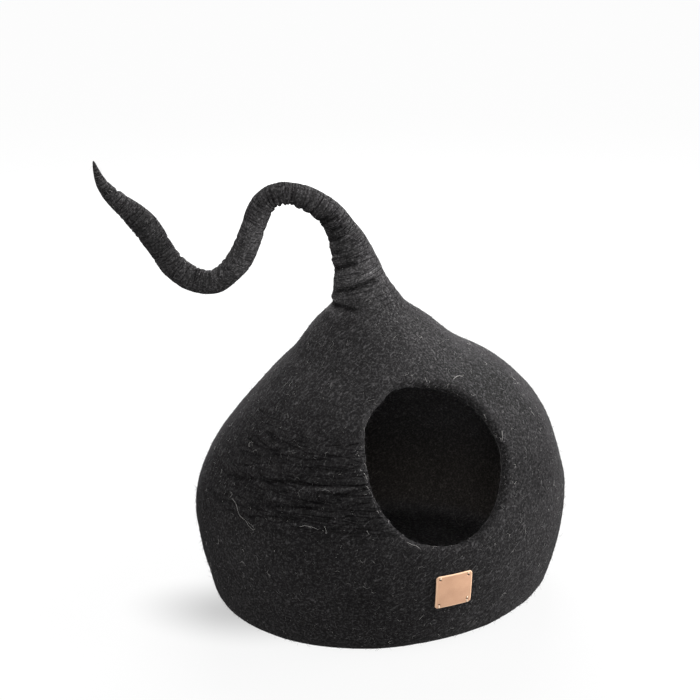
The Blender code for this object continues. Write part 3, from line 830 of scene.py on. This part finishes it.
LEATHER_BUMP = (0.25, 0.15)


def add_loop(curve, points):
    loop = curve.splines.new("POLY")
    loop.points.add(len(points) - 1)
    for point, (x, y) in zip(loop.points, points):
        point.co = (x, y, 0, 1)
    loop.use_cyclic_u = True


def tag_outline():
    x_side, y_side = TAG_WIDTH / 2 - TAG_CORNER, TAG_HEIGHT / 2 - TAG_CORNER
    points = []
    for corner, (x, y) in enumerate(((1, -1), (1, 1), (-1, 1), (-1, -1))):
        for k in range(TAG_CORNER_STEPS + 1):
            angle = math.radians(90) * (corner - 1 + k / TAG_CORNER_STEPS)
            points.append((x * x_side + TAG_CORNER * math.cos(angle),
                           y * y_side + TAG_CORNER * math.sin(angle)))
    return points


def hole_middle(x, y):
    """The middle of a punched hole. x and y are -1 or 1 and say in which corner."""
    return x * (TAG_WIDTH / 2 - TAG_HOLE_INSET), y * (TAG_HEIGHT / 2 - TAG_HOLE_INSET)


def bend_terms(x, y):
    return np.stack([x * 0 + 1, x, y, x * x, x * y, y * y], -1)


def tag_frame():
    """The middle and the three axes of the CAD tag, and how its middle surface bends off them."""
    points, _ = read_points(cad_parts["leather_tag"].data)
    middle = (points.min(0) + points.max(0)) / 2
    outward = np.linalg.svd(points - points.mean(0))[2][2]
    outward *= -np.sign(outward[1])
    level = unit(np.cross(outward, (0, 0, -1)))
    rise = np.cross(outward, level)
    tilt = math.radians(TAG_TILT)
    across = level * math.cos(tilt) + rise * math.sin(tilt)
    up = rise * math.cos(tilt) - level * math.sin(tilt)
    x, y, z = ((points - middle) @ axis for axis in (across, up, outward))
    return middle, (across, up, outward), np.linalg.lstsq(bend_terms(x, y), z, rcond=None)[0]


def lay_on_wall(points):
    """Places points of the flat tag, in millimetres, where the CAD tag is."""
    middle, (across, up, outward), bend = tag_frame()
    x, y, z = points.T
    lift = bend_terms(x, y) @ bend
    return middle + x[:, None] * across + y[:, None] * up + (z + lift)[:, None] * outward


def cut_tag():
    """The flat plate with its eased edges and holes, in millimetres, divided finely."""
    plate = bpy.data.curves.new("tag", "CURVE")
    plate.dimensions = "2D"
    plate.fill_mode = "BOTH"
    plate.extrude = TAG_THICKNESS / 2 - TAG_EDGE
    plate.bevel_depth = TAG_EDGE
    plate.bevel_resolution = 3
    plate.offset = -TAG_EDGE
    add_loop(plate, tag_outline())
    for x, y in ((-1, -1), (-1, 1), (1, -1), (1, 1)):
        hole_x, hole_y = hole_middle(x, y)
        add_loop(plate, [(hole_x + TAG_HOLE / 2 * math.cos(angle),
                          hole_y + TAG_HOLE / 2 * math.sin(angle))
                         for angle in np.arange(TAG_HOLE_STEPS) * 2 * math.pi / TAG_HOLE_STEPS])
    drawn = put("tag shape", plate)
    work = bmesh.new()
    work.from_mesh(shown_mesh(drawn))
    bpy.data.objects.remove(drawn)
    bmesh.ops.remove_doubles(work, verts=work.verts, dist=TAG_WELD)
    for axis, size in ((0, TAG_WIDTH), (1, TAG_HEIGHT)):
        across = Vector((0, 0, 0))
        across[axis] = 1
        count = round(size / TAG_STEP)
        for k in range(1, count):
            bmesh.ops.bisect_plane(work, geom=work.verts[:] + work.edges[:] + work.faces[:],
                                   plane_co=across * (k / count - 0.5) * size, plane_no=across)
    bmesh.ops.recalc_face_normals(work, faces=work.faces)
    return to_mesh(work, "leather_plate")


def make_tag():
    mesh = cut_tag()
    points = np.array([vert.co for vert in mesh.vertices])
    points[:, 2] += (TAG_UNEVEN * noise_at(points * (1, 1, 0), TAG_UNEVEN_SIZE)
                     + TAG_CURL * (points[:, 0] / TAG_WIDTH * 2) ** 4)
    from_rim = np.minimum(TAG_WIDTH / 2 - np.abs(points[:, 0]),
                          TAG_HEIGHT / 2 - np.abs(points[:, 1]))
    keep_values(mesh, "rim", 1 - ease((from_rim - TAG_RIM / 2) / TAG_RIM))
    write_points(mesh, lay_on_wall(points))
    mesh.shade_smooth()
    return put("leather_plate", mesh)


def leather_finish():
    material, place, shader = start_finish(
        "tan leather", Specular_IOR_Level=0.4, Sheen_Weight=0.05)
    grain = place.node("ShaderNodeTexVoronoi", {"feature": "F1"},
                       {"Vector": place, "Scale": 1 / (LEATHER_GRAIN.size * MM)})
    patches = cloud(place, LEATHER_PATCHES.size, 3.0)
    pores = cloud(place, LEATHER_PORES.size, 2.0)
    tone = (patches.span(*CLOUD_SHOWS) * LEATHER_PATCHES.tone
            + pores.span(*CLOUD_SHOWS) * LEATHER_PORES.tone)
    height = grain * LEATHER_GRAIN.height + pores * LEATHER_PORES.height
    # lighter cut edges with a painted highlight on their rounding, on the tag's edges
    colour = place.kept("rim").mix(tone.mix(LEATHER_DARK, LEATHER_LIGHT), LEATHER_EDGE_AND_HIGHLIGHT)
    connect(shader, Base_Color=colour, Roughness=tone * LEATHER_ROUGHER + LEATHER_ROUGH,
            Normal=height.bump(*LEATHER_BUMP))
    return material


tag = make_tag()
tag.data.materials.append(leather_finish())
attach(tag, "root")
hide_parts("leather_tag")

# ================================================================ the stitches
# Short stitches of cream linen thread at the corners of the tag: each comes up through the punched
# hole and goes down again beside it, and one corner has two.
Stitch = namedtuple("Stitch", "x y up")
STITCHES = [Stitch(-1, 1, 1), Stitch(1, 1, 1), Stitch(-1, -1, -1), Stitch(1, -1, 1),
            Stitch(1, -1, -1)]
THREAD = 0.85
THREAD_SIDES = 8
STITCH_START = 1.0          # from the hole's middle
STITCH_LENGTH = 3.0
STITCH_STEPS = 12
STITCH_RISE = 0.45          # share of the thread's thickness that its middle is above the leather
STITCH_SQUARE = 6           # how suddenly it turns down at its ends


def add_thread(work, line):
    """A round thread with closed ends along a line of points."""
    side = np.array((1, 0, 0))
    angles = np.arange(THREAD_SIDES) * 2 * math.pi / THREAD_SIDES
    rings = []
    for point, run in zip(line, unit(np.gradient(line, axis=0))):
        third = np.cross(run, side)
        rings.append([work.verts.new(
            point + THREAD / 2 * (math.cos(a) * side + math.sin(a) * third)) for a in angles])
    for low, high in zip(rings, rings[1:]):
        for i in range(THREAD_SIDES):
            j = (i + 1) % THREAD_SIDES
            work.faces.new((low[i], low[j], high[j], high[i]))
    work.faces.new(rings[0])
    work.faces.new(rings[-1])


def make_stitches():
    work = bmesh.new()
    steps = np.linspace(0, 1, STITCH_STEPS + 1)
    rise = (TAG_THICKNESS * 0.5 + THREAD * STITCH_RISE
            - TAG_THICKNESS * np.abs(2 * steps - 1) ** STITCH_SQUARE)
    for stitch in STITCHES:
        x, y = hole_middle(stitch.x, stitch.y)
        reach = stitch.up * (STITCH_START + steps * STITCH_LENGTH)
        add_thread(work, np.stack([x + 0 * steps, y + reach, rise], -1))
    bmesh.ops.recalc_face_normals(work, faces=work.faces)
    mesh = to_mesh(work, "tag_stitches")
    write_points(mesh, lay_on_wall(np.array([vert.co for vert in mesh.vertices])))
    mesh.shade_smooth()
    return put("tag_stitches", mesh)


def thread_finish():
    material, place, shader = start_finish(
        "cream linen thread", Roughness=0.8, Sheen_Weight=0.2)
    twist = place.node("ShaderNodeTexWave", {"wave_type": "BANDS"},
                       {"Vector": place, "Scale": 0.5 / MM, "Distortion": 1.0})
    connect(shader, Base_Color=twist.mix((0.55, 0.44, 0.32, 1), (0.8, 0.7, 0.56, 1)),
            Normal=twist.bump(0.4, 0.1))
    return material


stitches = make_stitches()
stitches.data.materials.append(thread_finish())
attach(stitches, "root")

# ================================================================ the studio
# A plain white floor, lit from below too, and white all round. Large soft lights stand low and
# high on the right and behind the cave, one high on the left, and weak ones in front and overhead.
# The camera stands to the left of the doorway's front and looks down on the cave.
CAMERA_PLACE = (-673.5, -1507.1, 867.7)
CAMERA_TURN = -22.75        # degrees from looking along +Y
CAMERA_DOWN = 18.88
CAMERA_LENS = 74.65         # on a film 36 mm wide
FLOOR_HALF = 60000
FLOOR_DARK = (0.02, 0.02, 0.02, 1)
GLOW_NEAR = 0.915           # how brightly the floor is lit from below, near the cave and far off
GLOW_FAR = 0.97
GLOW_REACH = (300, 1000)    # from the middle
SHADE = 0.62                # a painted shadow of the cave on the floor's left: the glow drops to this share,
SHADE_MIDDLE = (-192, -16)  # in a soft oval
SHADE_SIZE = (160, 92)
SHADE_TURN = 147.0
SURROUND = 0.2              # brightness of the white all round
WHITE = (1, 1, 1, 1)

# Where each light stands: degrees round from the front towards the right, and degrees up.
Softbox = namedtuple("Softbox", "name turn rise size power")
SOFTBOXES = [
    Softbox("right", 65, 14, 1400, 153),
    Softbox("right, high", 65, 45, 1400, 54),
    Softbox("behind", 155, 14, 1400, 265),
    Softbox("behind, high", 155, 45, 1400, 178),
    Softbox("left, high", -70, 45, 1400, 38),
    Softbox("front", -26, 26, 1200, 14),
    Softbox("top", 0, 88, 1400, 10),
]
LIGHT_AWAY = 2300

floor_mesh = bpy.data.meshes.new("floor")
floor_mesh.from_pydata([(x * FLOOR_HALF * MM, y * FLOOR_HALF * MM, 0)
                        for x, y in ((-1, -1), (1, -1), (1, 1), (-1, 1))], [], [(0, 1, 2, 3)])
floor = put("floor", floor_mesh)
floor_white, place, shader = start_finish(
    "white floor", Base_Color=FLOOR_DARK, Roughness=1.0, Specular_IOR_Level=0.0,
    Emission_Strength=1.0)
# the cave's painted shadow on the floor: the glow is lower in a soft oval on its left
shade = laid_on(place, (*SHADE_MIDDLE, 0), (0, 0, math.radians(SHADE_TURN)),
                (SHADE_SIZE[0] * MM, SHADE_SIZE[1] * MM, 1)).length().span(0, 1)
far = place.length().span(GLOW_REACH[0] * MM, GLOW_REACH[1] * MM)
glow = (GLOW_NEAR + (GLOW_FAR - GLOW_NEAR) * far) * (SHADE + (1 - SHADE) * shade)
connect(shader, Emission_Color=glow.mix((0, 0, 0, 1), WHITE))
floor_mesh.materials.append(floor_white)

for box in SOFTBOXES:
    lamp = bpy.data.lights.new(box.name, "AREA")
    lamp.energy = box.power
    lamp.size = box.size * MM
    light = put(box.name, lamp)
    turn, rise = math.radians(box.turn), math.radians(box.rise)
    towards = Vector((math.cos(rise) * math.sin(turn), -math.cos(rise) * math.cos(turn),
                      math.sin(rise)))
    light.location = (Vector(CAVE_MIDDLE) + towards * LIGHT_AWAY) * MM
    light.rotation_euler = towards.to_track_quat("Z", "Y").to_euler()
    light.visible_camera = False

world = bpy.data.worlds.new("white surround")
world.use_nodes = True
background = world.node_tree.nodes["Background"].inputs
background["Color"].default_value = WHITE
background["Strength"].default_value = SURROUND
bpy.context.scene.world = world
bpy.context.scene.view_settings.view_transform = "Standard"

lens = bpy.data.cameras.new("camera")
lens.lens = CAMERA_LENS
camera = put("camera", lens)
camera.location = Vector(CAMERA_PLACE) * MM
camera.rotation_euler = (math.radians(90 - CAMERA_DOWN), 0, math.radians(CAMERA_TURN))
bpy.context.scene.camera = camera
